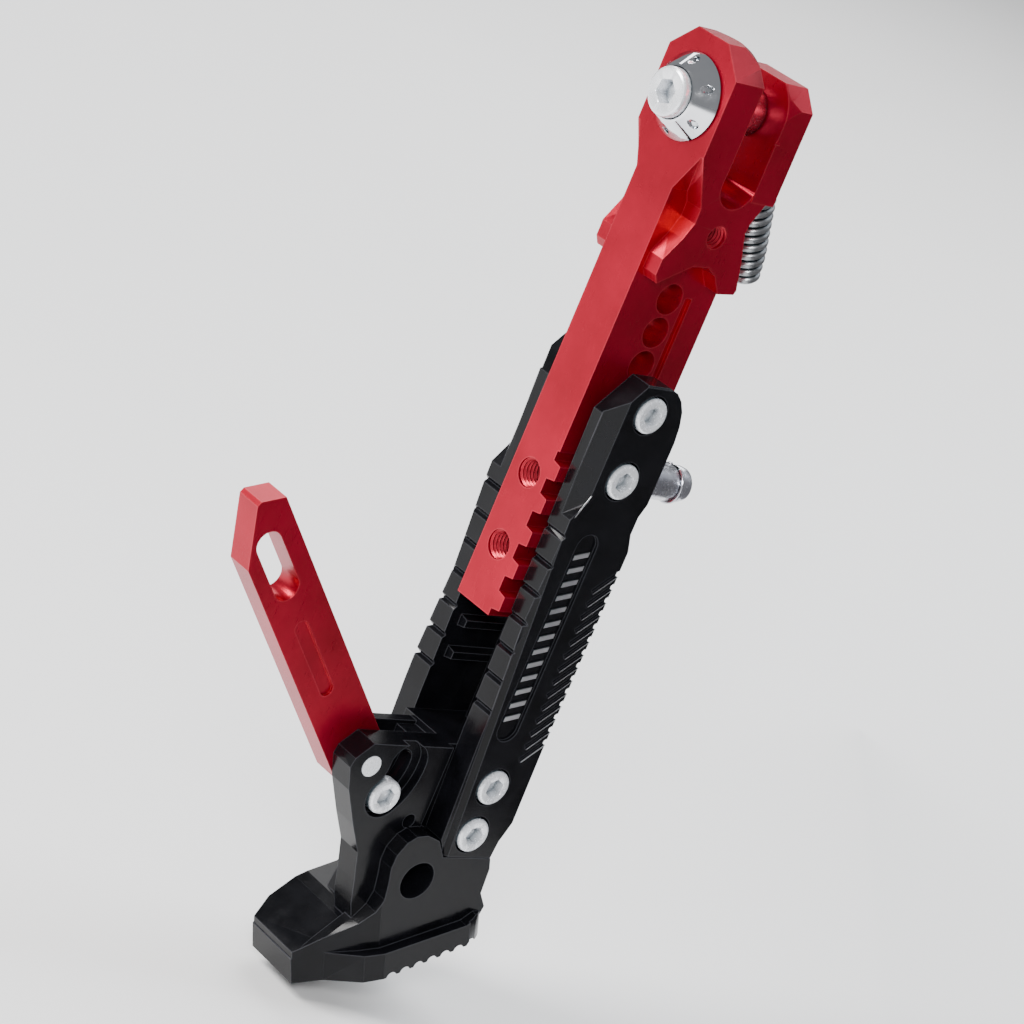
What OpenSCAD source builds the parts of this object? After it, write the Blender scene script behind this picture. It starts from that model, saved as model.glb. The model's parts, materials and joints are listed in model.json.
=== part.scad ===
// Adjustable motorcycle side stand (kickstand) with a folding foot lever.
// All sizes in millimetres. The origin is on the pivot bolt axis, +Z runs up the leg,
// Y is the pivot bolt axis with -Y towards the rider's foot, X is the normal of the leg plates.

/* [Arm] */
// Half width of the outboard clevis ear
ear_half = 13.2; // [12.8:0.1:14]
// Height of the outboard ear above the pivot axis
ear_top = 16.7; // [16:0.1:18]
// Outboard face of the arm
arm_y0 = -15.5; // [-16:0.5:-15]
// Inboard face of the adjusting bar
arm_y1 = 15.5; // [15:0.5:16]
// Half thickness of the adjusting bar
bar_half = 7.2; // [6.6:0.1:8]
// Inboard side of the outboard ear
gap_y0 = -5.0; // [-6:0.5:-4]
// Inner side of the inboard ear
gap_y1 = 7.2; // [6:0.1:9]
// Outer side of the inboard ear
ear_y1 = 15.5; // [14:0.5:18]
// Bottom of the clevis gap
gap_z = -23.0; // [-27:0.5:-20]
// Lower end of the arm
arm_end = -144.5; // [-148:0.5:-143]

/* [Adjustment] */
// Pitch of the adjusting holes and teeth
pitch = 9.5; // [9.2:0.1:9.8]
// First adjusting hole
hole_z = -51.0; // [-52.5:0.5:-50]
// Adjusting hole diameter
hole_d = 8.6; // [7:0.1:8.8]
// Centre of the first tooth
tooth_z = -101.75; // [-104:0.25:-99]
// How far a tooth stands out of its root
tooth_h = 3.0; // [2:0.1:3.2]

/* [Plates] */
// Inner face of the plates
plate_in = 9.7; // [9.5:0.1:10.5]
// Outer face of the plates
plate_out = 17.0; // [16:0.5:18]
// Outboard edge of the plates
plate_y0 = -13.0; // [-13.4:0.2:-12]
// Inboard edge of the plates
plate_y1 = 13.0; // [12.6:0.2:14]
// Lower end of the plates
plate_end = -211.0; // [-213:0.5:-209]

/* [Bolts] */
// Clamp bolt shank diameter
bolt_d = 6.0; // [5:0.5:8]
// Clamp bolt head diameter
head_d = 10.0; // [9:0.5:13]
// Clamp bolt head height
head_h = 6.0; // [5:0.5:8]
// Pivot bolt diameter
pivot_d = 8.0; // [8:0.5:10]
// Pivot bolt head diameter
pivot_head_d = 13.0; // [12:0.5:16]
// Pivot bolt head height
pivot_head_h = 6.7; // [6:0.1:8]
// Cup washer diameter
cup_d = 22.8; // [22:0.2:25]

/* [Lever] */
// Lever pin, outboard position
lever_y = -39.7; // [-42:0.1:-37]
// Lever pin, height
lever_z = -187.5; // [-190:0.1:-185]
// Distance from the pin to the lever tip
lever_len = 92.0; // [88:1:98]
// Lever width
lever_w = 17.5; // [16:0.5:18]
// Half thickness of the lever
lever_half = 4.0; // [3:0.5:4]
// Lean of the lever from the outboard direction
lever_tilt = 45.5; // [40:0.5:50]

/* [Foot] */
// Half width of the shoe
shoe_half = 17.0; // [16:0.5:18]
// Half width of the sole flange
sole_half = 20.0; // [18.5:0.5:22]
// Angle between the sole and the square end of the leg
sole_angle = 22.6; // [20:0.2:25]
// Diameter of the large hole in the boss
boss_hole_d = 11.0; // [9:0.5:12]

/* [Spring post] */
// Diameter of the spring post
post_d = 10.0; // [8:0.5:11]
// Height of the domed end of the post
post_tip = 42.2; // [41:0.2:45]

/* [Return spring] */
// Outside radius of the spring at its upper end
spring_r = 5.7; // [5.2:0.1:6.2]
// Distance between two coils
spring_pitch = 2.5; // [2:0.1:3]
// Number of coils
spring_coils = 12; // [9:1:13]
// Lean of the spring away from the leg
spring_lean = 22; // [18:1:28]

/* [Hidden] */
// Radial running clearance of the turning joints
run = 0.05;
// Tiny overlap used where one cut has to pass through a face
e = 0.5;
bolt_z1 = hole_z - 3 * pitch;
bolt_z2 = hole_z - 5 * pitch;
foot_z1 = -189.5;
foot_z2 = -204.0;
// Tapped holes in the outboard face: outer size of the thread and their two heights
thread_d = 8.0;
thread_z1 = -106.0;
thread_z2 = -127.0;
post_z = -104.0;
// Lever bolt: its angle about the lever pin with the lever up, and its distance from the pin
bolt_ang = -44.4;
bolt_r = 12.7;
// Angle of the free end of the lever bolt's curved slot
slot_end_ang = 3;
// Width of the curved slot and of the recess round it
slot_w = 6.4;
recess_w = 12.4;
// Distance of the pivot bolt head's seat from the bolt's middle
head_seat = -arm_y0 + 1.7;
// Floor of the counterbores in the front plate
seat_x = 12.0;
// Both faces of the foot's cheek
web_x0 = 4.2;
web_x1 = 12.0;
// Half width of the foot's neck
neck_half = plate_in - 0.1;
// Offset of the foot bolts' axes from the middle of the plate's width
foot_bolt_y = 0.8;
// Middle and half width of the recessed panel, and its ends
panel_y = -2.5;
panel_half = 3.7;
panel_z0 = -118;
panel_z1 = -172;
panel_floor = plate_out - 1;
// Slanted grooves: middle, length, rise towards the inboard edge, highest one, spacing and number
groove_y = 9.8;
groove_len = 9.4;
groove_ang = 42;
groove_z = -127.2;
groove_pitch = 3.9;
groove_count = 14;
// Lower front edge of the sole
toe_y = -32.4;
toe_z = -255.6;

// ---------- helpers ----------
module slabx(x0, x1, pts) {
    translate([x0, 0, 0])
        rotate([90, 0, 90])
            linear_extrude(height = x1 - x0)
                polygon(pts);
}

module slaby(y0, y1, pts) {
    translate([0, y1, 0])
        rotate([90, 0, 0])
            linear_extrude(height = y1 - y0)
                polygon(pts);
}

module cylx(x0, x1, d, y, z) {
    translate([x0, y, z])
        rotate([0, 90, 0])
            cylinder(h = x1 - x0, d = d, $fn = 48);
}

module cyly(y0, y1, d, x, z) {
    translate([x, y0, z])
        rotate([-90, 0, 0])
            cylinder(h = y1 - y0, d = d, $fn = 48);
}

module cylz(d, x, y, h) {
    translate([x, y, 0])
        cylinder(h = h, d = d, $fn = 48);
}

module hexx(x0, x1, af, y, z) {
    translate([x0, y, z])
        rotate([0, 90, 0])
            cylinder(h = x1 - x0, d = af / cos(30), $fn = 6);
}

module hexy(y0, y1, af, x, z) {
    translate([x, y0, z])
        rotate([-90, 0, 0])
            cylinder(h = y1 - y0, d = af / cos(30), $fn = 6);
}

module box(x0, x1, y0, y1, z0, z1) {
    translate([x0, y0, z0])
        cube([x1 - x0, y1 - y0, z1 - z0]);
}

// ---------- arm ----------
module outboard_ear() {
    intersection() {
        slaby(arm_y0, gap_y0, [
            [-ear_half + 7.3, ear_top],
            [ear_half - 7.3, ear_top],
            [ear_half, ear_top - 7.3],
            [ear_half, -9.8],
            [7.2, -22],
            [-7.2, -22],
            [-ear_half, -9.8],
            [-ear_half, ear_top - 7.3]
        ]);
        union() {
            translate([0, arm_y0, 0])
                rotate([-90, 0, 0])
                    cylinder(h = gap_y0 - arm_y0, r1 = 19.8, r2 = 16.2, $fn = 72);
            box(-16, 16, -30, 30, -32, -6);
        }
    }
}

module inboard_ear() {
    intersection() {
        slaby(gap_y1, ear_y1, [
            [-8.2, 10.9],
            [8.2, 10.9],
            [ear_half, 5.8],
            [ear_half, -20],
            [-ear_half, -20],
            [-ear_half, 5.8]
        ]);
        union() {
            translate([0, gap_y1, 0])
                rotate([-90, 0, 0])
                    cylinder(h = ear_y1 - gap_y1, r1 = 13.4, r2 = 15.4, $fn = 72);
            box(-16, 16, 0, 30, -32, -4);
        }
    }
}

module arm_block() {
    // hourglass side walls that end in two wing tips and an arch
    intersection() {
        slabx(-ear_half, ear_half, [
            [arm_y0, -8],
            [arm_y0, -11.4],
            [-13.6, -15],
            [-8.6, -24.5],
            [-8.4, -28.5],
            [-10.2, -33],
            [-13.9, -39.2],
            [-13.9, -43.6],
            [-12.4, -45.8],
            [-7.2, -42.6],
            [-2.5, -39.8],
            [3.0, -39.2],
            [6.6, -41.2],
            [10.2, -45.8],
            [15.9, -45.2],
            [16.4, -44],
            [14.0, -37],
            [11.6, -31.5],
            [10.4, -28.5],
            [10.6, -25.5],
            [12.9, -20],
            [ear_y1, -15],
            [ear_y1, -8]
        ]);
        slaby(-30, 30, [
            [-ear_half, -6],
            [-ear_half, -12],
            [-12.3, -41],
            [-12.3, -50],
            [12.3, -50],
            [12.3, -41],
            [ear_half, -12],
            [ear_half, -6]
        ]);
    }
}

module arm_bar() {
    union() {
        box(-bar_half, bar_half, arm_y0, arm_y1, -96.5, -12);
        box(-6.4, 6.4, arm_y0, arm_y1, arm_end, -96);
        box(-bar_half, -6, arm_y0, -8.2, arm_end, -96);
        for (i = [0:4]) {
            slaby(arm_y0, arm_y1, [
                [6.0, tooth_z - i * pitch + 2.7],
                [6.4 + tooth_h, tooth_z - i * pitch + 2.05],
                [6.4 + tooth_h, max(tooth_z - i * pitch - 2.05, arm_end)],
                [6.0, max(tooth_z - i * pitch - 2.7, arm_end)]
            ]);
            slaby(-8.2, arm_y1, [
                [-6.0, tooth_z - i * pitch + 2.7],
                [-6.4 - tooth_h, tooth_z - i * pitch + 2.05],
                [-6.4 - tooth_h, max(tooth_z - i * pitch - 2.05, arm_end)],
                [-6.0, max(tooth_z - i * pitch - 2.7, arm_end)]
            ]);
        }
    }
}

module arm() {
    color([0.62, 0.03, 0.09])
        difference() {
            union() {
                outboard_ear();
                inboard_ear();
                arm_block();
                arm_bar();
            }
            // clevis gap with a round bottom
            box(-30, 30, gap_y0, gap_y1, gap_z + 6.1, 30);
            cylx(-30, 30, gap_y1 - gap_y0, (gap_y0 + gap_y1) / 2, gap_z + 6.1);
            // pivot bore and the tapped bore in the inboard ear
            cyly(-40, gap_y0 + e, pivot_d + 0.2, 0, 0);
            cyly(gap_y1 - e, 30, pivot_d, 0, 0);
            // adjusting holes
            for (i = [0:9])
                cylx(-20, 20, hole_d, 0, hole_z - i * pitch);
            // groove beside the adjusting holes on both faces
            for (s = [-1, 1])
                slaby(5.4, 7.8, [
                    [s * 6.2, -50],
                    [s * 7.6, -50],
                    [s * 7.6, -84],
                    [s * 6.2, -84]
                ]);
            // tapped holes in the outboard face
            cyly(-30, -5, thread_d, 0, thread_z1);
            cyly(-30, -5, thread_d, 0, thread_z2);
            // tapped hole in the clevis block
            cylx(2, 30, 6.4, 1.2, -31.0);
            // seat of the spring post
            cyly(7, 30, 6.0, 0, post_z);
            // seat of the spring's wire end
            cyly(10, 40, 2.2, -3, -30);
        }
}

// ---------- pivot hardware ----------
module pivot_bolt() {
    color([0.72, 0.73, 0.75])
        difference() {
            union() {
                cyly(-head_seat - pivot_head_h, -head_seat, pivot_head_d, 0, 0);
                cyly(-head_seat - 0.3, ear_y1 - 0.7, pivot_d, 0, 0);
            }
            hexy(-30, -head_seat - pivot_head_h + 4, 6.0, 0, 0);
        }
}

module cup_washer() {
    color([0.78, 0.79, 0.81])
        difference() {
            rotate([90, 0, 0])
                rotate_extrude($fn = 72)
                    polygon([
                        [pivot_d / 2 + 0.1, -arm_y0],
                        [cup_d / 2 - 0.5, -arm_y0],
                        [cup_d / 2, -arm_y0 + 0.5],
                        [cup_d / 2 - 0.5, -arm_y0 + 1.2],
                        [pivot_head_d / 2 + 0.9, -arm_y0 + 5.6],
                        [pivot_head_d / 2 + 0.3, -arm_y0 + 5.8],
                        [pivot_head_d / 2 + 0.15, head_seat],
                        [pivot_d / 2 + 0.1, head_seat]
                    ]);
            for (i = [0:5])
                rotate([0, 30 + i * 60, 0])
                    cyly(-30, -head_seat, 2.0, (cup_d + pivot_head_d) / 4 + 0.4, 0);
        }
}

module pivot_sleeve() {
    color([0.66, 0.67, 0.69])
        difference() {
            cyly(gap_y0 + 0.1, gap_y1 - 0.1, 13.0, 0, 0);
            cyly(gap_y0 - 1, gap_y1 + 1, pivot_d + 2 * run, 0, 0);
        }
}

// ---------- leg plates ----------
module plate_body() {
    difference() {
        union() {
            slabx(plate_in, plate_out, [
                [plate_y0, -82],
                [-4.5, -71.5],
                [3.5, -71.5],
                [6.4, -72.5],
                [8.8, -74.5],
                [10.7, -77.4],
                [12.0, -81.4],
                [plate_y1 - 0.4, -86],
                [plate_y1 - 0.4, -104],
                [plate_y1 - 1.8, -108],
                [plate_y1 - 1.8, -113],
                [plate_y1, -118],
                [plate_y1, -176],
                [plate_y1 + 0.6, -200],
                [11.5, -206],
                [11.0, plate_end],
                [-6, plate_end],
                [-9.5, -206],
                [plate_y0 + 2, -176],
                [plate_y0 + 0.6, -110]
            ]);
            // rack teeth that lock into the arm
            for (i = [1:7])
                slaby(-8.0, plate_y1 - 1, [
                    [plate_in + 0.4, tooth_z - (i - 0.5) * pitch + 1.75],
                    [6.9, tooth_z - (i - 0.5) * pitch + 1.1],
                    [6.9, tooth_z - (i - 0.5) * pitch - 1.1],
                    [plate_in + 0.4, tooth_z - (i - 0.5) * pitch - 1.75]
                ]);
        }
        // wide bevel along the outboard edge of the upper part, which runs out on a slant
        intersection() {
            translate([plate_out + 0.35, plate_y0 + 0.35, -70])
                rotate([0, 0, 45])
                    cube([6.2, 6.2, 110], center = true);
            slabx(5, 30, [
                [-20, -30],
                [2, -30],
                [2, -88.9],
                [-20, -122.4]
            ]);
        }
        // narrow bevel along the lower part
        translate([plate_out + 0.9, -9.8, -165])
            rotate([4.6, 0, 0])
                rotate([0, 0, 45])
                    cube([3.4, 3.4, 120], center = true);
        // bevel across the top
        translate([plate_out + 1.2, 0, -70.2])
            rotate([0, 45, 0])
                cube([4.2, 60, 4.2], center = true);
        // shallow notches across the outboard edge, which slopes in towards its lower end
        for (i = [0:6])
            translate([(plate_in + plate_out) / 2, plate_y0 + 0.7 + i * 0.18, -116 - i * 8.6])
                rotate([45, 0, 0])
                    cube([20, 1.4, 1.4], center = true);
        // waist under the upper bolts
        cylx(0, 30, 5, plate_y1 + 2.2, -110.5);
    }
}

module plate_groove(z) {
    translate([plate_out, groove_y, z])
        rotate([groove_ang, 0, 0])
            cube([1.6, groove_len, 1.5], center = true);
}

module front_plate() {
    color([0.05, 0.05, 0.055])
        difference() {
            plate_body();
            for (z = [bolt_z1, bolt_z2]) {
                cylx(0, 30, bolt_d + 0.4, 0, z);
                cylx(seat_x, 30, head_d + 1.2, 0, z);
            }
            for (z = [foot_z1, foot_z2]) {
                cylx(0, 30, bolt_d + 0.4, foot_bolt_y, z);
                cylx(seat_x, 30, head_d + 1.2, foot_bolt_y, z);
            }
            // recessed panel with round ends
            box(panel_floor, 30, panel_y - panel_half, panel_y + panel_half, panel_z1, panel_z0);
            cylx(panel_floor, 30, 2 * panel_half, panel_y, panel_z0);
            cylx(panel_floor, 30, 2 * panel_half, panel_y, panel_z1);
            // slanted grooves that serrate the inboard edge
            for (i = [0:groove_count - 1])
                plate_groove(groove_z - i * groove_pitch);
        }
}

module rear_plate() {
    color([0.05, 0.05, 0.055])
        difference() {
            mirror([1, 0, 0])
                plate_body();
            // tapped holes for the clamp bolts
            for (z = [bolt_z1, bolt_z2])
                cylx(-30, 0, bolt_d, 0, z);
            for (z = [foot_z1, foot_z2])
                cylx(-30, 0, bolt_d, foot_bolt_y, z);
        }
}

module badge_strip() {
    // plain row of slanted bars, inlaid in the recessed panel
    bars = 13;
    step = (panel_z0 - panel_z1 - 6) / (bars - 1);
    color([0.7, 0.71, 0.72])
        for (i = [0:bars - 1])
            slabx(panel_floor, panel_floor + 0.5, [
                for (c = [[-2.5, -1.2], [2.5, 0.2], [2.5, 1.6], [-2.5, 0.2]])
                    [panel_y + c[0], panel_z0 - 3 - i * step + c[1]]
            ]);
}

// ---------- clamp bolts ----------
module clamp_bolt(y, z) {
    color([0.75, 0.76, 0.78])
        difference() {
            union() {
                cylx(seat_x, seat_x + head_h, head_d, y, z);
                cylx(-16.4, seat_x + 0.5, bolt_d, y, z);
            }
            hexx(seat_x + head_h - 3, seat_x + head_h + 1, 5.0, y, z);
        }
}

module clamp_bolt_1() {
    clamp_bolt(0, bolt_z1);
}

module clamp_bolt_2() {
    clamp_bolt(0, bolt_z2);
}

module foot_bolt_1() {
    clamp_bolt(foot_bolt_y, foot_z1);
}

module foot_bolt_2() {
    clamp_bolt(foot_bolt_y, foot_z2);
}

// ---------- foot ----------
module sole_frame() {
    // origin on the sole's lower front edge, +Y back along the sole, +Z square to it
    translate([0, toe_y, toe_z])
        rotate([sole_angle, 0, 0])
            children();
}

module shoe_plan(w, far_w) {
    // plan of the shoe, square to the sole: it narrows to a blunt toe
    sole_frame()
        translate([0, 0, -20])
            linear_extrude(height = 90)
                polygon([
                    [-8.5, -3],
                    [7.4, -3],
                    [11.9, 8],
                    [w - 1.6, 16.5],
                    [w, 22],
                    [w, 90],
                    [-w, 90],
                    [-w, 36],
                    [-far_w, 28],
                    [-far_w, 6]
                ]);
}

module shoe() {
    back = [
        [-6.2, plate_end - 0.2],
        [11.2, plate_end - 0.2],
        [12.6, -214.5],
        [13.2, -222.0],
        [16.5, -226.0],
        [15, -236],
        [-30, -253]
    ];
    intersection() {
        union() {
            // toe and the far side
            slabx(-shoe_half, shoe_half, concat([
                [-36.6, -246.0],
                [-32.0, -241.2],
                [-25.4, -235.0],
                [-22.0, -233.2],
                [-6.0, -227.0],
                [-5.4, -222.0]
            ], back, [[-32.2, -255.2], [-33.2, -253.8]]));
            // near side with its S-shaped ridge
            slabx(9, shoe_half, concat([
                [-36.6, -246.2],
                [-31.5, -240.2],
                [-24.4, -233.0],
                [-21.4, -228.6],
                [-20.6, -224.5],
                [-21.6, -219.5],
                [-22.9, -215.0],
                [-22.8, -211.0],
                [-20.9, -207.2],
                [-18.2, -205.2],
                [-14.6, -204.8],
                [-9.9, -206.3]
            ], back));
        }
        shoe_plan(shoe_half, 12);
    }
}

module sole() {
    // flange of the sole, wider than the shoe and round at the back
    intersection() {
        sole_frame()
            slabx(-22, 22, [
                [0, 0],
                [56.5, 0],
                [57.6, 1.2],
                [57.8, 4.6],
                [56.2, 7.2],
                [52.6, 8.4],
                [48.6, 7.0],
                [6, 9.4],
                [-0.4, 8.2]
            ]);
        shoe_plan(sole_half, 13);
        sole_frame()
            translate([0, 0, -20])
                union() {
                    box(-30, 30, -10, 50, 0, 60);
                    cylz(15, sole_half - 8, 49.5, 60);
                    cylz(15, -sole_half + 8, 49.5, 60);
                    box(-sole_half + 8, sole_half - 8, 40, 57.8, 0, 60);
                }
    }
}

module foot_web() {
    // outboard cheek that carries the lever
    slabx(web_x0, web_x1, [
        [-13.6, -181],
        [-41.5, -181],
        [-46.0, -185.5],
        [-46.6, -188.2],
        [-43.9, -194.8],
        [-37.5, -205],
        [-31.9, -213.2],
        [-28.8, -222],
        [-26.6, -229],
        [-22, -238],
        [-13.6, -238]
    ]);
}

module foot_core() {
    union() {
        // neck clamped between the plates
        box(-neck_half, neck_half, -13.8, 12.4, -232, -181);
        // tongue between the plates
        box(-6.6, 6.6, 5.5, 12.4, -182, -150);
        // body behind the cheek
        slabx(-4, 6, [
            [-13.6, -183],
            [-20.5, -183],
            [-20.5, -206],
            [-19.5, -222.5],
            [-22, -238],
            [-13.6, -238]
        ]);
        // thin far cheek beyond the lever
        slabx(-web_x0 - 3, -web_x0, [
            [-13.6, -182],
            [-29.0, -182],
            [-30.0, -183.5],
            [-30.0, -196],
            [-22, -207],
            [-13.6, -218]
        ]);
        shoe();
    }
}

module arc_ring(x0, x1, w) {
    // part of a ring about the lever pin, from the bolt's rest place to the slot's free end
    difference() {
        cylx(x0, x1, 2 * bolt_r + w, lever_y, lever_z);
        cylx(x0 - 1, x1 + 1, 2 * bolt_r - w, lever_y, lever_z);
        slabx(x0 - 1, x1 + 1, [
            [lever_y, lever_z],
            [lever_y + 40 * cos(slot_end_ang), lever_z + 40 * sin(slot_end_ang)],
            [lever_y, lever_z + 60],
            [lever_y - 60, lever_z],
            [lever_y, lever_z - 60],
            [lever_y + 40 * cos(bolt_ang), lever_z + 40 * sin(bolt_ang)]
        ]);
    }
    for (a = [bolt_ang, slot_end_ang])
        cylx(x0, x1, w, lever_y + bolt_r * cos(a), lever_z + bolt_r * sin(a));
}

module foot() {
    color([0.035, 0.035, 0.04])
        difference() {
            union() {
                sole();
                foot_web();
                foot_core();
            }
            // clearance of the foot bolts
            cylx(-30, 30, bolt_d + 0.4, foot_bolt_y, foot_z1);
            cylx(-30, 30, bolt_d + 0.4, foot_bolt_y, foot_z2);
            // bores of the tongue
            cyly(0, 40, 6, 0, -160);
            cyly(0, 40, 6, 0, -172);
            // large hole through the boss
            cylx(-30, 30, boss_hole_d, -12.0, -218.5);
            // small blind hole
            cylx(8, 30, 4, -18.6, -203.3);
            // bore of the lever pin
            cylx(0, 30, 6.0 + 2 * run, lever_y, lever_z);
            // curved slot for the lever bolt and the recess round it
            arc_ring(9.0, 30, recess_w);
            arc_ring(web_x0 - 0.6, 30, slot_w);
            // grip notches of the sole
            sole_frame()
                for (i = [0:6])
                    translate([-30, 24.5 + i * 4.4, -0.5])
                        rotate([0, 90, 0])
                            cylinder(h = 60, d = 3.4, $fn = 32);
        }
}

// ---------- lever ----------
module lever_frame() {
    translate([0, lever_y, lever_z])
        rotate([-lever_tilt, 0, 0])
            children();
}

module lever_outline() {
    h = lever_w / 2;
    slabx(-lever_half, lever_half, [
        [14.8, -4.9],
        [8.2, -5.2],
        [4, -h + 1],
        [-lever_len + 17, -h + 1],
        [-lever_len + 1, -h + 9.6],
        [-lever_len + 0.6, -h + 11],
        [-lever_len + 4.0, h],
        [4, h],
        [8.2, 5.6],
        [14.8, 5.3],
        [17.2, 2.8],
        [17.2, -2.4]
    ]);
}

module lever() {
    // the slot's width and the centres of its two round ends, measured from the lever pin
    finger_w = 7.4;
    slot_z = -0.1;
    slot_y0 = -lever_len + 13.8;
    slot_y1 = -lever_len + 29.4;
    color([0.62, 0.03, 0.09])
        difference() {
            lever_frame()
                lever_outline();
            // through slot near the tip
            lever_frame()
                union() {
                    box(-30, 30, slot_y0, slot_y1, slot_z - finger_w / 2, slot_z + finger_w / 2);
                    cylx(-30, 30, finger_w, slot_y0, slot_z);
                    cylx(-30, 30, finger_w, slot_y1, slot_z);
                }
            // engraved groove
            lever_frame()
                union() {
                    box(lever_half - 0.8, 30, -48, -24.6, -2.5, 1.5);
                    cylx(lever_half - 0.8, 30, 4.0, -48, -0.5);
                    cylx(lever_half - 0.8, 30, 4.0, -24.6, -0.5);
                }
            cylx(-30, 30, 6.0, lever_y, lever_z);
            cylx(-30, 30, 5.0, lever_y + bolt_r * cos(bolt_ang), lever_z + bolt_r * sin(bolt_ang));
        }
}

module lever_bolt() {
    color([0.75, 0.76, 0.78])
        difference() {
            union() {
                cylx(9.1, 12.7, head_d, lever_y + bolt_r * cos(bolt_ang), lever_z + bolt_r * sin(bolt_ang));
                cylx(-3.6, 9.5, 5.0, lever_y + bolt_r * cos(bolt_ang), lever_z + bolt_r * sin(bolt_ang));
            }
            hexx(10.6, 14, 5.0, lever_y + bolt_r * cos(bolt_ang), lever_z + bolt_r * sin(bolt_ang));
        }
}

module lever_pin() {
    color([0.75, 0.76, 0.78])
        cylx(-4.0, 12.2, 6.0, lever_y, lever_z);
}

// ---------- spring post, ring and spring ----------
module spring_post() {
    r = post_d / 2;
    color([0.7, 0.71, 0.73])
        rotate([-90, 0, 0])
            translate([0, -post_z, 0])
                rotate_extrude($fn = 48)
                    polygon([
                        [0, 7.2],
                        [3.0, 7.2],
                        [3.0, arm_y1],
                        [r, arm_y1],
                        [r, 35.2],
                        [r - 0.9, 35.2],
                        [r - 0.9, 36.6],
                        [r, 36.6],
                        [r, 38.6],
                        [r - 0.4, post_tip - 2.0],
                        [r - 1.4, post_tip - 0.9],
                        [r - 3.0, post_tip - 0.2],
                        [0, post_tip]
                    ]);
}

module post_ring() {
    color([0.62, 0.63, 0.65])
        difference() {
            cyly(35.3, 36.5, post_d + 1.4, 0, post_z);
            cyly(30, 40, post_d - 1.8, 0, post_z);
            box(-1.4, 1.4, 30, 40, post_z, post_z + 12);
        }
}

module return_spring() {
    color([0.55, 0.56, 0.57])
        union() {
            translate([-3, 24.2, -18.5])
                rotate([spring_lean, 0, 0])
                    rotate([180, 0, 0])
                        rotate_extrude($fn = 40)
                            polygon(concat(
                                [
                                    for (i = [0:spring_coils - 1]) for (k = [0, 1]) [
                                        spring_r - 1.1 * (1 - k) - i * 0.13,
                                        (i + k / 2) * spring_pitch
                                    ]
                                ],
                                [[2.4, (spring_coils - 0.5) * spring_pitch], [2.4, 0]]
                            ));
            cyly(10.2, 26, 2.2, -3, -30);
        }
}

arm();
pivot_bolt();
cup_washer();
pivot_sleeve();
front_plate();
rear_plate();
badge_strip();
foot();
clamp_bolt_1();
clamp_bolt_2();
foot_bolt_1();
foot_bolt_2();
lever();
lever_bolt();
lever_pin();
spring_post();
post_ring();
return_spring();
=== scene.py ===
import bpy
import json
import math
from mathutils import Matrix, Vector


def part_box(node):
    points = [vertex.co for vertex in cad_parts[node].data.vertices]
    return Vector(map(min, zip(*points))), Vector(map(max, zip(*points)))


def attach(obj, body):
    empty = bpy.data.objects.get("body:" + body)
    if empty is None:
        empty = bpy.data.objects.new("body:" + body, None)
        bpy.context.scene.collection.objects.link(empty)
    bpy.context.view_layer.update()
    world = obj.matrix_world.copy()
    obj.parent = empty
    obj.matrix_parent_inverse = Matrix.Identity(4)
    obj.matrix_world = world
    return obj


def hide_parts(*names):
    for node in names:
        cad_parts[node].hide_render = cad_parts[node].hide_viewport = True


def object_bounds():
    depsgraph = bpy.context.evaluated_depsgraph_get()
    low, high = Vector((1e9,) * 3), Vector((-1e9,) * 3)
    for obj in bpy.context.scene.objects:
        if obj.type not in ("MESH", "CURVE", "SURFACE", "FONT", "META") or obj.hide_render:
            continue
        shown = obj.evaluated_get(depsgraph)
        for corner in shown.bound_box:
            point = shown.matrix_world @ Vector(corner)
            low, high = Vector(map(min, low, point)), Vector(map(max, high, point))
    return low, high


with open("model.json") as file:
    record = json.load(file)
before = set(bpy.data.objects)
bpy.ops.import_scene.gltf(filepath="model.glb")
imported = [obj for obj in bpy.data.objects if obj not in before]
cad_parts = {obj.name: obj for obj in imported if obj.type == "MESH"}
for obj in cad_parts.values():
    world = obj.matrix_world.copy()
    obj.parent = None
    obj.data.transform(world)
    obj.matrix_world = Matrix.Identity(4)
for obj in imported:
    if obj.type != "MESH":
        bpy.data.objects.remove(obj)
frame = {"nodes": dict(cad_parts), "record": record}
CAD_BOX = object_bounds()
NODES = frame["nodes"]
MM = 0.001
scene = bpy.context.scene


# ---------------------------------------------------------------- material helpers
def new_mat(name):
    mat = bpy.data.materials.new(name)
    mat.use_nodes = True
    tree = mat.node_tree
    tree.nodes.clear()
    out = tree.nodes.new("ShaderNodeOutputMaterial")
    bsdf = tree.nodes.new("ShaderNodeBsdfPrincipled")
    tree.links.new(bsdf.outputs["BSDF"], out.inputs["Surface"])
    return mat, tree, bsdf


def coords(tree, scale=(1, 1, 1)):
    """Object coordinates in metres, stretched to lay a grain along one axis."""
    source = tree.nodes.new("ShaderNodeTexCoord")
    mapping = tree.nodes.new("ShaderNodeMapping")
    mapping.inputs["Scale"].default_value = scale
    tree.links.new(source.outputs["Object"], mapping.inputs["Vector"])
    return mapping.outputs["Vector"]


def noise(tree, vec, scale, detail=3.0, rough=0.5):
    node = tree.nodes.new("ShaderNodeTexNoise")
    node.inputs["Scale"].default_value = scale
    node.inputs["Detail"].default_value = detail
    node.inputs["Roughness"].default_value = rough
    tree.links.new(vec, node.inputs["Vector"])
    return node.outputs["Fac"]


def scratches(tree, vec, scale, width):
    """Thin hairlines: the narrow bands where a stretched noise crosses its middle."""
    fac = noise(tree, vec, scale, 2.0, 0.4)
    away = math_node(tree, "ABSOLUTE", math_node(tree, "SUBTRACT", fac, 0.5))
    return remap(tree, away, 1.0, 0.0, 0.0, width)


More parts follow.
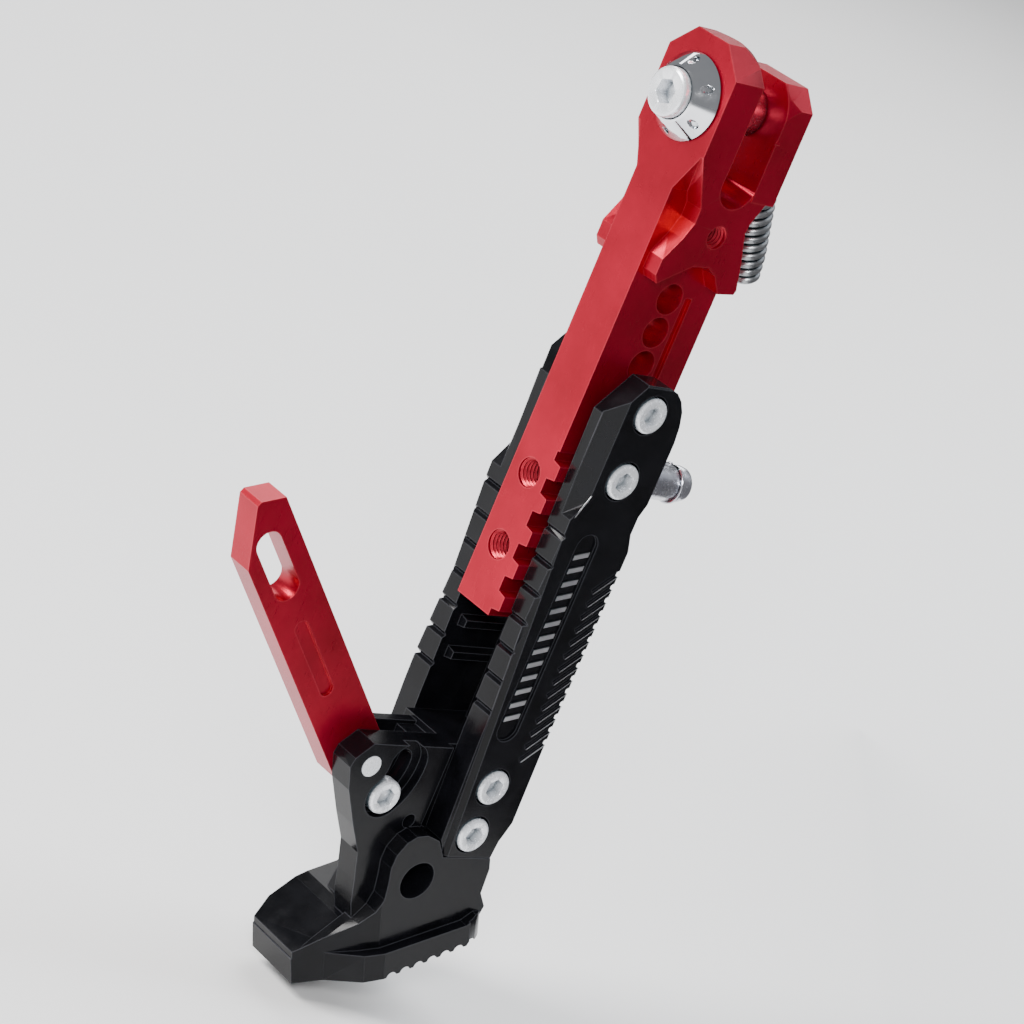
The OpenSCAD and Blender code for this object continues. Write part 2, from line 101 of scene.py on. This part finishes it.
def math_node(tree, operation, a, b=0.0):
    node = tree.nodes.new("ShaderNodeMath")
    node.operation = operation
    for socket, value in zip(node.inputs, (a, b)):
        if isinstance(value, (int, float)):
            socket.default_value = value
        else:
            tree.links.new(value, socket)
    return node.outputs[0]


def remap(tree, fac, low, high, start=0.3, stop=0.7):
    node = tree.nodes.new("ShaderNodeMapRange")
    node.inputs["From Min"].default_value = start
    node.inputs["From Max"].default_value = stop
    node.inputs["To Min"].default_value = low
    node.inputs["To Max"].default_value = high
    tree.links.new(fac, node.inputs["Value"])
    return node.outputs["Result"]


def blend_colour(tree, fac, a, b):
    node = tree.nodes.new("ShaderNodeMix")
    node.data_type = "RGBA"
    tree.links.new(fac, node.inputs["Factor"])
    for socket, value in ((node.inputs[6], a), (node.inputs[7], b)):
        if isinstance(value, tuple):
            socket.default_value = (*value, 1)
        else:
            tree.links.new(value, socket)
    return node.outputs[2]


def painted_edge_highlight(tree, radius, gain):
    """Mask for a painted edge highlight: 1 near a convex edge, 0 on a flat face, from the bevelled normal.
    """
    bevel = tree.nodes.new("ShaderNodeBevel")
    bevel.samples = 4
    bevel.inputs["Radius"].default_value = radius
    geometry = tree.nodes.new("ShaderNodeNewGeometry")
    dot = tree.nodes.new("ShaderNodeVectorMath")
    dot.operation = "DOT_PRODUCT"
    tree.links.new(bevel.outputs["Normal"], dot.inputs[0])
    tree.links.new(geometry.outputs["Normal"], dot.inputs[1])
    return remap(tree, dot.outputs["Value"], gain, 0.0, 0.9, 0.999)


def bump(tree, bsdf, heights, distance):
    previous = None
    for height, strength in heights:
        node = tree.nodes.new("ShaderNodeBump")
        node.inputs["Strength"].default_value = strength
        node.inputs["Distance"].default_value = distance
        tree.links.new(height, node.inputs["Height"])
        if previous is not None:
            tree.links.new(previous, node.inputs["Normal"])
        previous = node.outputs["Normal"]
    tree.links.new(previous, bsdf.inputs["Normal"])


# ---------------------------------------------------------------- materials
def red_anodised():
    """Anodised aluminium: a satin red dye over a fine machined grain along the leg."""
    mat, tree, bsdf = new_mat("red_anodised_alu")
    plain = coords(tree)
    grain = noise(tree, coords(tree, (14, 14, 1)), 260, 3, 0.6)
    cloud = noise(tree, plain, 45, 4, 0.55)
    sparkle = noise(tree, plain, 2600, 2, 0.6)
    lines = scratches(tree, coords(tree, (3, 3, 0.6)), 240, 0.006)
    body = blend_colour(tree, remap(tree, cloud, 0, 1), (0.28, 0.0010, 0.013), (0.39, 0.0022, 0.022))
    # Painted highlight: a lighter red laid along convex edges.
    edge_highlit = blend_colour(tree, painted_edge_highlight(tree, 0.0006, 0.35), body, (0.80, 0.09, 0.12))
    tree.links.new(edge_highlit, bsdf.inputs["Base Color"])
    bsdf.inputs["Metallic"].default_value = 0.72
    tree.links.new(remap(tree, grain, 0.27, 0.40), bsdf.inputs["Roughness"])
    bump(tree, bsdf, [(grain, 0.10), (sparkle, 0.10), (lines, 0.10)], 0.00010)
    return mat


def black_gloss():
    """Gloss black anodised aluminium with fine hairlines and painted blue-grey highlights along its edges.
    """
    mat, tree, bsdf = new_mat("black_gloss_alu")
    plain = coords(tree)
    ripple = noise(tree, plain, 140, 3, 0.5)
    dust = noise(tree, plain, 1900, 2, 0.6)
    lines = scratches(tree, coords(tree, (2, 2, 0.5)), 210, 0.005)
    body = blend_colour(tree, remap(tree, ripple, 0, 1), (0.0022, 0.0023, 0.003), (0.0045, 0.0047, 0.0062))
    # Painted highlight: a blue-grey tint laid along convex edges.
    edge_highlit = blend_colour(tree, painted_edge_highlight(tree, 0.0005, 0.22), body, (0.16, 0.165, 0.19))
    tree.links.new(edge_highlit, bsdf.inputs["Base Color"])
    bsdf.inputs["Metallic"].default_value = 0.0
    bsdf.inputs["Specular IOR Level"].default_value = 0.16
    tree.links.new(remap(tree, ripple, 0.13, 0.24), bsdf.inputs["Roughness"])
    bump(tree, bsdf, [(ripple, 0.05), (dust, 0.05), (lines, 0.08)], 0.00012)
    return mat


def recess_shade_mask(tree, reach):
    """Mask for painted shade: 0 deep in a socket or a groove, 1 on an open face."""
    node = tree.nodes.new("ShaderNodeAmbientOcclusion")
    node.inputs["Distance"].default_value = reach
    return remap(tree, node.outputs["AO"], 0.0, 1.0, 0.35, 0.85)


def plated(name, light, dark, rough, grain_scale, strength, metallic=1.0):
    """Bright plated steel with a fine mottled grain, with painted shade down in its sockets."""
    mat, tree, bsdf = new_mat(name)
    plain = coords(tree)
    grain = noise(tree, plain, grain_scale, 3, 0.6)
    cloud = noise(tree, plain, 120, 3, 0.5)
    body = blend_colour(tree, remap(tree, cloud, 0, 1), dark, light)
    # Painted shade: the colour turns dark blue-grey deep in sockets and grooves, where shadow falls.
    shaded = blend_colour(tree, recess_shade_mask(tree, 0.003), (0.10, 0.13, 0.15), body)
    tree.links.new(shaded, bsdf.inputs["Base Color"])
    bsdf.inputs["Metallic"].default_value = metallic
    tree.links.new(remap(tree, grain, *rough), bsdf.inputs["Roughness"])
    bump(tree, bsdf, [(grain, strength), (cloud, strength)], 0.00010)
    return mat


RED = red_anodised()
BLACK = black_gloss()
ZINC = plated("zinc_screw", (0.90, 0.92, 0.95), (0.80, 0.82, 0.86), (0.22, 0.30), 900, 0.03, 0.45)
CHROME = plated("polished_steel", (0.90, 0.91, 0.94), (0.76, 0.78, 0.84), (0.04, 0.10), 500, 0.02)
SPRING = plated("spring_wire", (0.42, 0.43, 0.44), (0.22, 0.23, 0.24), (0.26, 0.40), 700, 0.12)
POST = plated("post_steel", (0.66, 0.67, 0.72), (0.46, 0.47, 0.52), (0.18, 0.30), 700, 0.06)
SILVER = plated("silver_inlay", (0.78, 0.79, 0.80), (0.62, 0.63, 0.66), (0.30, 0.42), 1100, 0.10)

LOOK = {
    "arm": RED, "lever": RED,
    "front_plate": BLACK, "rear_plate": BLACK, "foot": BLACK,
    "badge_strip": SILVER, "cup_washer": CHROME,
    "return_spring": SPRING, "post_ring": POST, "spring_post": POST, "pivot_sleeve": POST,
}
for name, obj in NODES.items():
    mat = LOOK.get(name, ZINC)
    if not obj.material_slots:
        obj.data.materials.append(mat)
    for slot in obj.material_slots:
        slot.material = mat


def soften(name, width):
    """Small machined edge breaks on a CAD node."""
    weld = NODES[name].modifiers.new("weld", "WELD")
    weld.merge_threshold = 2e-6
    bevel = NODES[name].modifiers.new("edges", "BEVEL")
    bevel.width = width
    bevel.segments = 2
    bevel.limit_method = "ANGLE"
    bevel.angle_limit = math.radians(24)
    bevel.use_clamp_overlap = True
    bevel.harden_normals = True


for name, width in {"arm": 0.35, "lever": 0.5, "front_plate": 0.3, "rear_plate": 0.3, "foot": 0.4,
                    "spring_post": 0.15, "lever_pin": 0.3, "pivot_sleeve": 0.3}.items():
    soften(name, width * MM)


# ---------------------------------------------------------------- mesh helpers
def basis(origin, axis, up=Vector((0, 0, 1))):
    """Frame whose local Z runs along axis."""
    w = Vector(axis).normalized()
    if abs(w.dot(up)) > 0.95:
        up = Vector((0, 1, 0))
    u = up.cross(w).normalized()
    v = w.cross(u)
    return Matrix.Translation(Vector(origin)) @ Matrix((u, v, w)).transposed().to_4x4()


def piece(name, verts, faces, material, body, smooth_angle=32):
    mesh = bpy.data.meshes.new(name)
    mesh.from_pydata([tuple(v) for v in verts], [], faces)
    mesh.validate()
    mesh.shade_smooth()
    mesh.set_sharp_from_angle(angle=math.radians(smooth_angle))
    mesh.materials.append(material)
    obj = bpy.data.objects.new(name, mesh)
    scene.collection.objects.link(obj)
    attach(obj, body)
    return obj


def lathe(place, rings):
    """Closed skin through rings of points in the local frame; each ring is a list of (x, y, z)."""
    count = len(rings[0])
    verts = [place @ Vector(p) for ring in rings for p in ring]
    faces = []
    for r in range(len(rings) - 1):
        for i in range(count):
            j = (i + 1) % count
            faces.append((r * count + i, r * count + j, (r + 1) * count + j, (r + 1) * count + i))
    faces.append(tuple(reversed(range(count))))
    faces.append(tuple(range((len(rings) - 1) * count, len(rings) * count)))
    return verts, faces


def circle(radius, height, count, wobble=None):
    ring = []
    for i in range(count):
        a = 2 * math.pi * i / count
        r = radius + (wobble(i, a) if wobble else 0)
        ring.append((r * math.cos(a), r * math.sin(a), height))
    return ring


def hexagon(across_flats, height, count, turn=0.0):
    """Ring of points on a hexagon, with as many points as the circles have."""
    ring = []
    for i in range(count):
        a = 2 * math.pi * i / count
        inside = (a - turn) % (math.pi / 3) - math.pi / 6
        r = across_flats / 2 / math.cos(inside)
        ring.append((r * math.cos(a), r * math.sin(a), height))
    return ring


def tube(path, radius, sides=10, taper=1):
    """Round wire along a path, closed at both ends."""
    points = [Vector(p) for p in path]
    verts, faces = [], []
    side = None
    for i, p in enumerate(points):
        along = (points[min(i + 1, len(points) - 1)] - points[max(i - 1, 0)]).normalized()
        if side is None:
            side = along.orthogonal().normalized()
        side = (side - along * side.dot(along)).normalized()
        other = along.cross(side)
        ends = min(i, len(points) - 1 - i)
        r = radius * min(1.0, 0.45 + 0.55 * ends / taper)
        for k in range(sides):
            a = 2 * math.pi * k / sides
            verts.append(p + r * (math.cos(a) * side + math.sin(a) * other))
    for i in range(len(points) - 1):
        for k in range(sides):
            j = (k + 1) % sides
            faces.append((i * sides + k, i * sides + j, (i + 1) * sides + j, (i + 1) * sides + k))
    faces.append(tuple(reversed(range(sides))))
    faces.append(tuple(range((len(points) - 1) * sides, len(points) * sides)))
    return verts, faces


# ---------------------------------------------------------------- screws
def screw(name, body, axis, head_h, shank_d, socket, socket_depth, turn, knurl=0.00003):
    """Socket head screw: chamfered shank, knurled head, hexagon socket with a lead-in."""
    low, high = (Vector(c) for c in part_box(name))
    axis = Vector(axis)
    centre = (low + high) / 2
    outer = centre + axis * abs((high - low).dot(axis)) / 2
    length = abs((high - low).dot(axis))
    head_r = max((high - low) - Vector([abs(a) for a in axis]) * length) / 2
    place = basis(outer, axis)
    n = 96
    shank_r = shank_d / 2

    def flute(i, a):
        return -knurl if i % 4 < 2 else 0.0

    rings = [
        circle(shank_r - 0.0006, -length, n),
        circle(shank_r, -length + 0.0006, n),
        circle(shank_r, -head_h, n),
        circle(head_r - 0.0003, -head_h, n),
        circle(head_r, -head_h + 0.0003, n),
        circle(head_r, -head_h + 0.0006, n, flute),
        circle(head_r, -0.0010, n, flute),
        circle(head_r, -0.0008, n),
        circle(head_r - 0.00022, -0.0003, n),
        circle(head_r - 0.0007, 0, n),
        circle(socket / 2 / math.cos(math.pi / 6) + 0.00006, 0, n),
        hexagon(socket, -0.00015, n, turn),
        hexagon(socket * 0.985, -socket_depth, n, turn),
        circle(socket * 0.30, -socket_depth - 0.0002, n),
        circle(0.0002, -socket_depth - 0.0007, n),
    ]
    verts, faces = lathe(place, rings)
    obj = piece(name + "_detail", verts, faces, ZINC, body, 26)
    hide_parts(name)
    return obj


TOWARDS_X, OUTWARDS = (1, 0, 0), (0, -1, 0)
# Head height, shank diameter, socket width and socket depth of each kind of screw, in metres
PLATE_SCREW = (0.006, 0.006, 0.005, 0.003)
LEVER_SCREW = (0.0036, 0.005, 0.005, 0.0021)
PIVOT_SCREW = (0.0067, 0.008, 0.006, 0.004)
# The angle at which each plate screw's socket came to rest when it was tightened
PLATE_SCREW_TURN = {"clamp_bolt_1": 0.30, "clamp_bolt_2": 0.62, "foot_bolt_1": 0.50, "foot_bolt_2": 0.15}
for name, turn in PLATE_SCREW_TURN.items():
    screw(name, "stand", TOWARDS_X, *PLATE_SCREW, turn)
screw("lever_bolt", "lever", TOWARDS_X, *LEVER_SCREW, 0.4)
screw("pivot_bolt", "stand", OUTWARDS, *PIVOT_SCREW, 0.35)


# ---------------------------------------------------------------- cup washer
def cup_washer():
    """Polished cone washer that holds the pivot screw's head, with six round dimples."""
    low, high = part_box("cup_washer")
    outer_r = (high[0] - low[0]) / 2
    height = high[1] - low[1]
    place = basis(((low[0] + high[0]) / 2, high[1], (low[2] + high[2]) / 2), (0, -1, 0))
    n = 360
    bore_r, wall_r, lip_r = 0.0041, 0.00665, 0.0068
    floor_h, foot_h = 0.0017, 0.0012
    top_r, top_h = 0.0074, height - 0.0002
    foot_r = outer_r - 0.0005
    rows = 34
    dimple_r, dimple_depth, dimple_at = 0.00105, 0.0010, 0.00935

    def dimple(x, y):
        step = math.pi / 3
        near = round(math.atan2(y, x) / step - 0.5) * step + step / 2
        d = math.hypot(x - dimple_at * math.cos(near), y - dimple_at * math.sin(near))
        return dimple_depth * max(0.0, min(1.0, (1 - d / dimple_r) * 3))

    rings = [circle(bore_r, 0, n), circle(foot_r, 0, n), circle(outer_r, 0.0005, n)]
    for k in range(rows):
        t = k / (rows - 1)
        cone = circle(foot_r + (top_r - foot_r) * t, foot_h + (top_h - foot_h) * t, n)
        rings.append([(x, y, z - dimple(x, y)) for x, y, z in cone])
    rings += [circle(lip_r, height, n), circle(wall_r, height - 0.0002, n), circle(wall_r, floor_h, n),
              circle(bore_r, floor_h, n)]
    verts = [place @ Vector(p) for ring in rings for p in ring]
    faces = []
    for r in range(len(rings)):
        s = (r + 1) % len(rings)
        for i in range(n):
            j = (i + 1) % n
            faces.append((r * n + i, r * n + j, s * n + j, s * n + i))
    obj = piece("cup_washer_detail", verts, faces, CHROME, "stand", 24)
    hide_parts("cup_washer")


cup_washer()


# ---------------------------------------------------------------- split ring on the spring post
def post_ring():
    """Round wire ring in the post's groove, open at the top."""
    low, high = (Vector(c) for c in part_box("post_ring"))
    centre = (low + high) / 2
    wire = (high.y - low.y) / 2
    ring_r = (high.x - low.x) / 2 - wire
    post_z = sum(corner[2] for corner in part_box("spring_post")) / 2
    half_gap = math.radians(16)
    steps = 72
    path = []
    for i in range(steps + 1):
        a = math.pi / 2 + half_gap + (2 * math.pi - 2 * half_gap) * i / steps
        path.append((centre.x + ring_r * math.cos(a), centre.y, post_z + ring_r * math.sin(a)))
    verts, faces = tube(path, wire, 12, 1)
    obj = piece("post_ring_wire", verts, faces, POST, "stand", 60)
    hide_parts("post_ring")


post_ring()


# ---------------------------------------------------------------- return spring
def return_spring():
    """Close-wound tapering coil on the CAD spring's axis, and the wire that ties it to the arm."""
    top = Vector((-3, 24.2, -18.5)) * MM
    lean = math.radians(22)
    axis = Vector((0, math.sin(lean), -math.cos(lean)))
    place = basis(top, axis)
    wire = 0.00115
    pitch, coils = 0.0025, 11.3
    top_r, taper, end_taper, straight = 0.00455, 0.00013, 0.00022, 8
    steps = 40
    path = []
    for i in range(int(coils * steps) + 1):
        turns = i / steps
        a = 2 * math.pi * turns
        r = top_r - taper * turns - end_taper * max(0, turns - straight)
        path.append(place @ Vector((r * math.cos(a), r * math.sin(a), wire + pitch * turns)))
    verts, faces = tube(path, wire, 12, 4)
    obj = piece("return_spring_coil", verts, faces, SPRING, "stand", 60)
    anchor = Vector((-3, 10.4, -30)) * MM
    first = path[int(4.25 * steps)]
    bend = Vector((-3 * MM, (anchor.y + first.y) / 2, -30 * MM))
    wire_path = [anchor.lerp(bend, t / 6) for t in range(6)] + [bend.lerp(first, t / 8) for t in range(9)]
    verts, faces = tube(wire_path, wire, 12, 2)
    end = piece("return_spring_end", verts, faces, SPRING, "stand", 60)
    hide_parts("return_spring")
    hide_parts("return_spring")


return_spring()


# ---------------------------------------------------------------- threads in the tapped holes
def thread(name, mouth, axis, bore_r, pitch, depth, body="stand"):
    """Helical ridge that stands in from the wall of a tapped hole."""
    place = basis(mouth, axis)
    ridge = pitch * 0.42
    height = pitch * 0.42
    steps = 48
    verts, faces = [], []
    total = int(steps * depth / pitch)
    for i in range(total + 1):
        a = 2 * math.pi * i / steps
        z = -pitch * i / steps - ridge
        fade = min(1.0, i / 14, (total - i) / 14)
        for r, dz in ((bore_r + 0.00012, -ridge), (bore_r - height * fade, -0.00008),
                      (bore_r - height * fade, 0.00008), (bore_r + 0.00012, ridge)):
            verts.append(place @ Vector((r * math.cos(a), r * math.sin(a), z + dz)))
    for i in range(total):
        for k in range(4):
            j = (k + 1) % 4
            faces.append((i * 4 + k, i * 4 + j, (i + 1) * 4 + j, (i + 1) * 4 + k))
    faces.append((3, 2, 1, 0))
    faces.append(tuple(total * 4 + k for k in range(4)))
    return piece(name, verts, faces, RED, body, 20)


MOUNT_AT = {mount["name"]: mount["pos_m"] for mount in frame["record"]["mounts"]}
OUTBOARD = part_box("arm")[0][1]
# Bore radius, pitch and depth of thread, in metres
ACCESSORY_THREAD = (0.0040, 0.00125, 0.009)
BLOCK_THREAD = (0.0032, 0.0011, 0.0095)
BLOCK_HOLE_MOUTH = (0.01258, 0.0012, -0.031)
for which in ("upper", "lower"):
    x, _, z = MOUNT_AT[which + "_accessory_hole"]
    thread("accessory_thread_" + which, (x, OUTBOARD, z), OUTWARDS, *ACCESSORY_THREAD)
thread("block_thread", BLOCK_HOLE_MOUTH, TOWARDS_X, *BLOCK_THREAD)


# ---------------------------------------------------------------- machined silver edges
def strip(start, end, width, normal, lift=0.00003):
    """Thin bare-metal line left by the cutter along an edge, as a flat-topped sliver."""
    a, b = Vector(start), Vector(end)
    n = Vector(normal).normalized()
    along = (b - a).normalized()
    across = n.cross(along).normalized()
    half = width / 2
    verts = []
    for p, scale in ((a, 0.35), (a.lerp(b, 0.08), 1.0), (a.lerp(b, 0.92), 1.0), (b, 0.35)):
        for side in (-1, 1):
            verts.append(p + across * side * half * scale + n * lift)
            verts.append(p + across * side * half * scale - n * 0.0001)
    faces = []
    for k in range(3):
        o = k * 4
        faces += [(o, o + 2, o + 6, o + 4), (o + 1, o + 5, o + 7, o + 3), (o, o + 4, o + 5, o + 1),
                  (o + 2, o + 3, o + 7, o + 6)]
    faces += [(0, 1, 3, 2), (12, 14, 15, 13)]
    return verts, faces


def silver_lines():
    face_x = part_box("front_plate")[1][0]
    groove_y, groove_len, groove_ang = 9.8 * MM, 9.4 * MM, math.radians(42)
    groove_z, groove_pitch, count = -127.2 * MM, 3.9 * MM, 14
    lines = []
    direction = Vector((0, math.cos(groove_ang), math.sin(groove_ang)))
    square = Vector((0, -math.sin(groove_ang), math.cos(groove_ang)))
    for i in range(count):
        centre = Vector((face_x, groove_y, groove_z - i * groove_pitch)) - square * 0.00086
        half = direction * groove_len / 2
        width = 0.00042 if i == count - 1 else 0.00026
        lines.append((centre - half, centre + half * 0.80, width))
    lines.append((Vector((face_x, -0.0084, -0.1034)), Vector((face_x, -0.0112, -0.1100)), 0.0004))
    verts, faces = [], []
    for start, end, width in lines:
        v, f = strip(start, end, width, (1, 0, 0))
        faces += [tuple(i + len(verts) for i in face) for face in f]
        verts += v
    piece("plate_silver_lines", verts, faces, SILVER, "stand")


silver_lines()


# ---------------------------------------------------------------- camera
def place_camera():
    data = bpy.data.cameras.new("camera")
    obj = bpy.data.objects.new("camera", data)
    scene.collection.objects.link(obj)
    data.sensor_width = 36.0
    data.lens = 132.159
    data.clip_start = 0.01
    azimuth, elevation, roll = (math.radians(a) for a in (43.53, 16.32, 22.92))
    back = Vector((math.sin(azimuth) * math.cos(elevation), -math.cos(azimuth) * math.cos(elevation),
                   math.sin(elevation)))
    level = Vector((math.cos(azimuth), math.sin(azimuth), 0))
    upright = back.cross(level)
    right = level * math.cos(roll) + upright * math.sin(roll)
    up = upright * math.cos(roll) - level * math.sin(roll)
    turn = Matrix((right, up, back)).transposed().to_4x4()
    obj.matrix_world = Matrix.Translation((0.64277, -0.69225, 0.1557)) @ turn
    scene.camera = obj


place_camera()


# ---------------------------------------------------------------- light and floor
def area_light(name, loc, target, size, power, colour=(1, 1, 1)):
    data = bpy.data.lights.new(name, "AREA")
    data.energy = power
    data.color = colour
    data.shape = "RECTANGLE"
    data.size, data.size_y = size
    obj = bpy.data.objects.new(name, data)
    scene.collection.objects.link(obj)
    obj.location = loc
    obj.rotation_euler = (Vector(target) - Vector(loc)).to_track_quat("-Z", "Y").to_euler()


MIDDLE = (0, 0, -0.12)
area_light("key", (-0.45, -1.0, 0.75), MIDDLE, (0.6, 0.6), 30, (1.0, 0.98, 0.96))
area_light("front", (0.75, -0.85, 0.40), MIDDLE, (0.35, 0.35), 14)
area_light("backdrop", (-1.0, 1.1, 1.1), (-1.0, 1.1, -0.3), (1.8, 1.8), 45)
area_light("rim", (0.2, 0.9, 0.9), MIDDLE, (0.5, 0.9), 12, (0.88, 0.93, 1.0))


def soft_world():
    world = bpy.data.worlds.new("world")
    scene.world = world
    world.use_nodes = True
    background = world.node_tree.nodes["Background"]
    background.inputs["Color"].default_value = (0.95, 0.97, 1.0, 1)
    background.inputs["Strength"].default_value = 0.26


soft_world()


def lay_floor():
    height = CAD_BOX[0][2] - 0.004
    reach = 3.0
    corners = [(-reach, -reach), (reach, -reach), (reach, reach), (-reach, reach)]
    mesh = bpy.data.meshes.new("floor")
    mesh.from_pydata([(x, y, height) for x, y in corners], [], [(0, 1, 2, 3)])
    obj = bpy.data.objects.new("floor", mesh)
    scene.collection.objects.link(obj)
    mat, tree, bsdf = new_mat("floor_white")
    cloud = noise(tree, coords(tree), 3, 2)
    white = blend_colour(tree, cloud, (0.86, 0.86, 0.86), (0.92, 0.92, 0.92))
    tree.links.new(white, bsdf.inputs["Base Color"])
    bsdf.inputs["Roughness"].default_value = 0.7
    mesh.materials.append(mat)


lay_floor()


def dark_card():
    """Dark card beside the stand, so that the plates' faces reflect it and not the floor."""
    away = Vector((0.687, 0.727, 0))
    along = Vector((0.727, -0.687, 0))
    centre = away * 0.16 + Vector((0, 0, 0.08))
    half_width, half_height = 0.38, 0.34
    mesh = bpy.data.meshes.new("dark_card")
    corners = [centre + along * a * half_width + Vector((0, 0, b * half_height))
               for a, b in ((-1, -1), (1, -1), (1, 1), (-1, 1))]
    mesh.from_pydata([tuple(c) for c in corners], [], [(0, 1, 2, 3)])
    obj = bpy.data.objects.new("dark_card", mesh)
    scene.collection.objects.link(obj)
    mat, tree, bsdf = new_mat("card_grey")
    cloud = noise(tree, coords(tree), 6, 2)
    grey = blend_colour(tree, cloud, (0.09, 0.09, 0.095), (0.11, 0.11, 0.115))
    tree.links.new(grey, bsdf.inputs["Base Color"])
    bsdf.inputs["Roughness"].default_value = 0.9
    mesh.materials.append(mat)
    obj.visible_camera = False
    obj.visible_shadow = False


dark_card()
